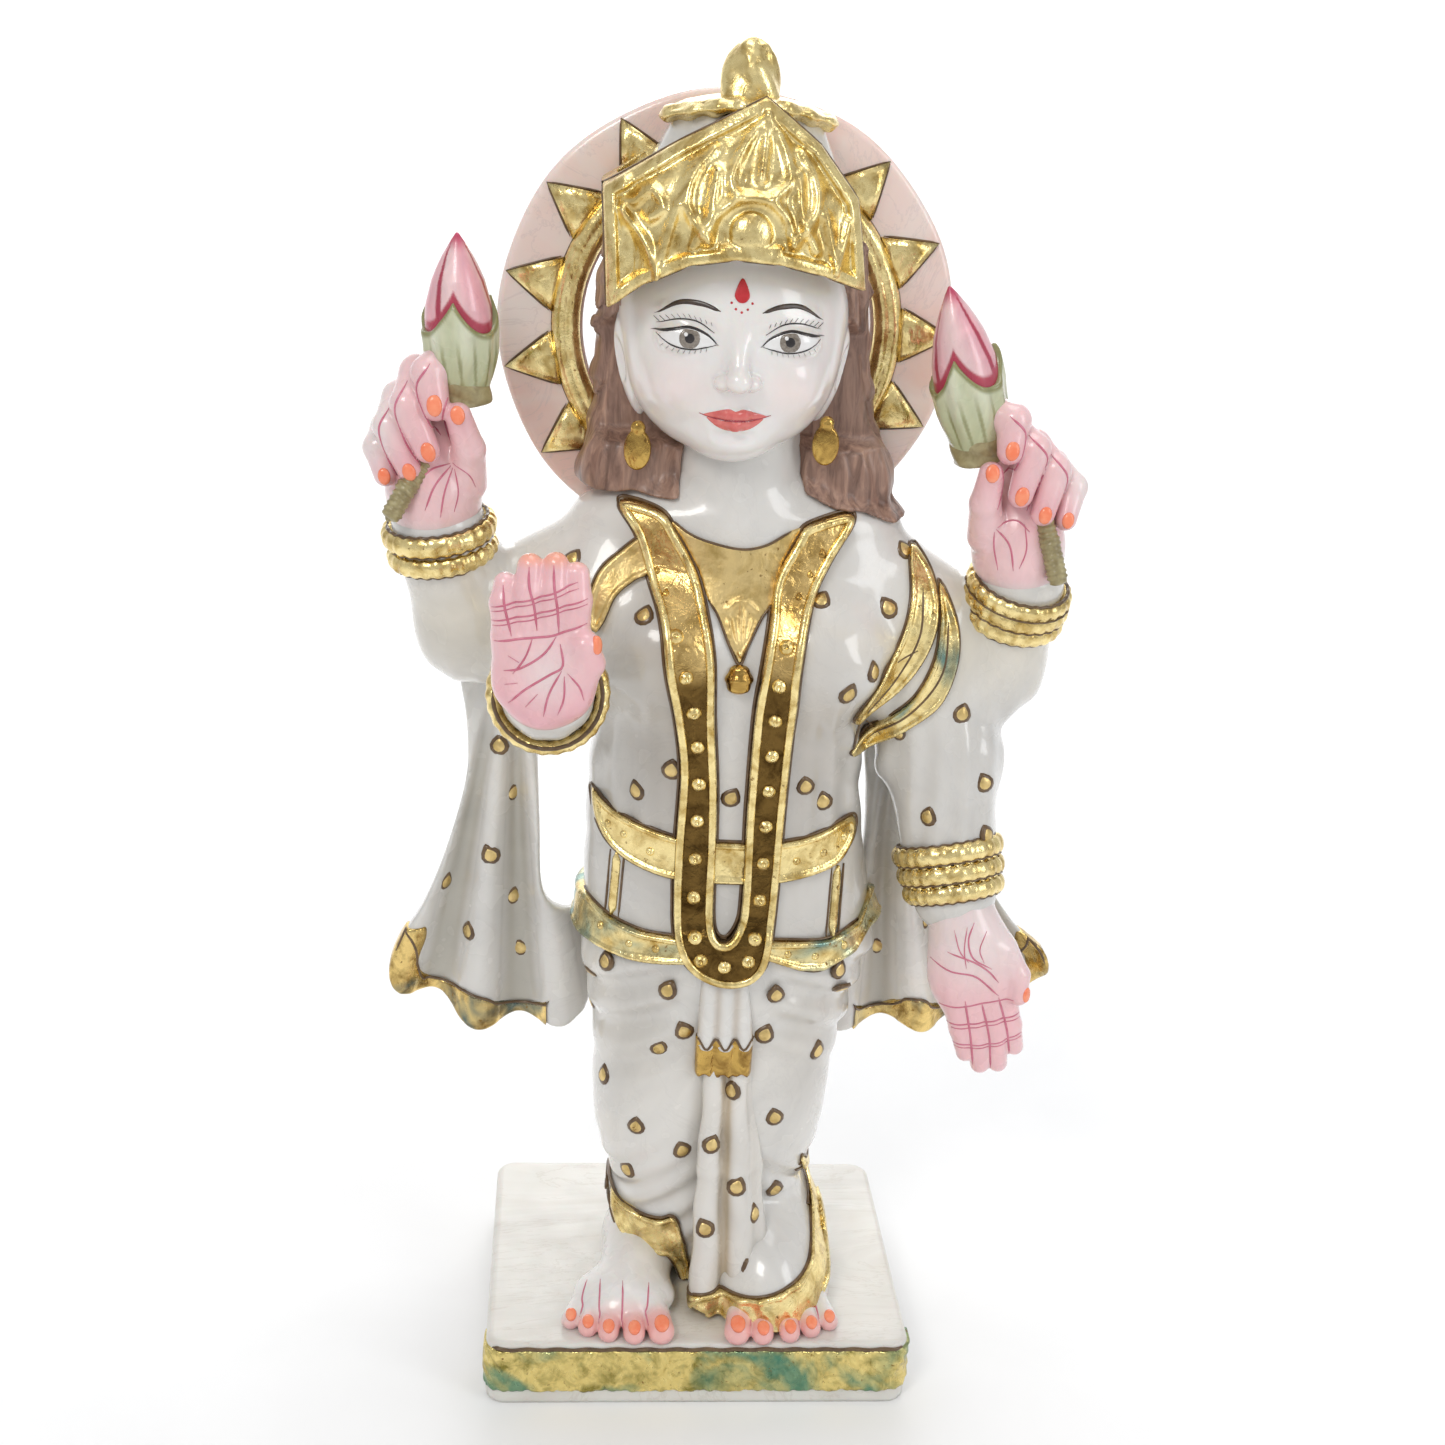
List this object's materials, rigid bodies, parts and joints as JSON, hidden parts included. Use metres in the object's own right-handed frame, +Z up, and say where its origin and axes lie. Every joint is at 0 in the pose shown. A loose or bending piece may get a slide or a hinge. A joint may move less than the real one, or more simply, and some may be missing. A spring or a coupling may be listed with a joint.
{
  "type": "deity statue",
  "caption": "Standing four-armed goddess figure in white marble on a rectangular plinth, gilded and painted, with lotus buds, a ray halo and a garland.",
  "frame": {"origin": "centre of the plinth's flat underside", "axes": "+Z up, -Y the way the figure faces, +X towards the figure's own left hand"},
  "size_m": [0.1629, 0.0903, 0.306],
  "materials": {
    "white_marble": "polished white marble with faint grey clouds, clear lacquer",
    "plinth_marble": "honed pale marble with faint brown-grey veins",
    "gold_leaf": "gold leaf over carved marble, bright and slightly wrinkled",
    "tinted_gold": "gold leaf over carved marble with a green tint, textured",
    "rose_skin": "marble tinted rose by airbrush, with painted palm lines and orange nails",
    "brown_hair": "marble painted soft brown",
    "halo_pink": "marble with a thin pale pink wash",
    "lotus_pink": "marble painted pink with crimson petal edges",
    "lotus_green": "marble painted pale green with olive strokes",
    "stem_olive": "marble painted olive brown, ribbed"
  },
  "bodies": {
    "root": {"armlet_left": "gold_leaf", "armlet_right": "gold_leaf", "belt_strap_left": "gold_leaf", "belt_strap_right": "gold_leaf", "crown_cone": "white_marble", "crown_finial": "gold_leaf", "crown_front_plate": "gold_leaf", "crown_rim": "gold_leaf", "earring_left": "gold_leaf", "earring_right": "gold_leaf", "garland": "gold_leaf", "hair_back": "brown_hair", "hair_lock_left": "brown_hair", "hair_lock_right": "brown_hair", "halo_disc": "halo_pink", "halo_rays": "gold_leaf", "halo_ring": "gold_leaf", "head": "white_marble", "left_foot": "white_marble", "left_lotus_bud": "lotus_pink", "left_lotus_sepal_cup": "lotus_green", "left_lotus_stem": "stem_olive", "long_pleat_left": "white_marble", "long_pleat_right": "white_marble", "lower_belt": "gold_leaf", "lower_left_arm": "white_marble", "lower_left_bangle": "gold_leaf", "lower_left_hand": "rose_skin", "lower_right_arm": "white_marble", "lower_right_bangle": "gold_leaf", "lower_right_hand": "rose_skin", "neck": "white_marble", "necklace_bib": "gold_leaf", "necklace_pendant": "gold_leaf", "pendant_drop": "gold_leaf", "plinth": "plinth_marble", "plinth_gilt_border": "tinted_gold", "right_foot": "white_marble", "right_lotus_bud": "lotus_pink", "right_lotus_sepal_cup": "lotus_green", "right_lotus_stem": "stem_olive", "shawl_end_left": "white_marble", "shawl_end_left_gilt_hem": "gold_leaf", "shawl_end_right": "white_marble", "shawl_end_right_gilt_hem": "gold_leaf", "short_pleat_fan": "white_marble", "short_pleat_gilt_hem": "gold_leaf", "skirt": "white_marble", "skirt_hem_left": "gold_leaf", "skirt_hem_right": "gold_leaf", "torso": "white_marble", "upper_belt": "gold_leaf", "upper_left_arm": "white_marble", "upper_left_bangle": "gold_leaf", "upper_left_hand": "rose_skin", "upper_right_arm": "white_marble", "upper_right_bangle": "gold_leaf", "upper_right_hand": "rose_skin"}
  },
  "joints": []
}
